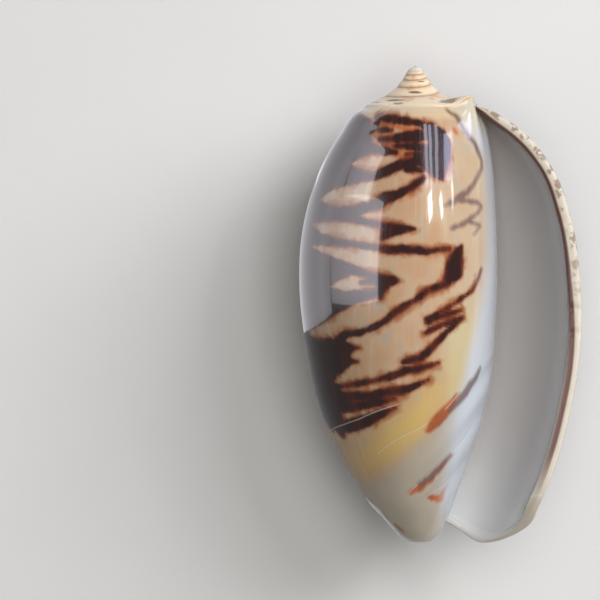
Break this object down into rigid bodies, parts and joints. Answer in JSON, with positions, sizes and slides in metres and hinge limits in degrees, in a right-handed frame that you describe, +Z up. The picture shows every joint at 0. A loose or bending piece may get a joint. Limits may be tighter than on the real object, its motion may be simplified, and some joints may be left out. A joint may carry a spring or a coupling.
{
  "type": "olive shell",
  "caption": "Inflated, glossy olive shell lying on its back, with a low pointed spire, a long open mouth and a notched front end.",
  "frame": {"origin": "middle of the small flat spot on the back that the shell rests on", "axes": "+Y along the shell's axis towards the pointed spire, +X towards the free lip, +Z up, out of the mouth"},
  "size_m": [0.0295, 0.05, 0.0243],
  "materials": {
    "glossy_shell": "natural glossy shell: cream with dark brown zigzag lines outside, grey-white inside"
  },
  "bodies": {
    "root": {"shell": "glossy_shell"}
  },
  "joints": []
}
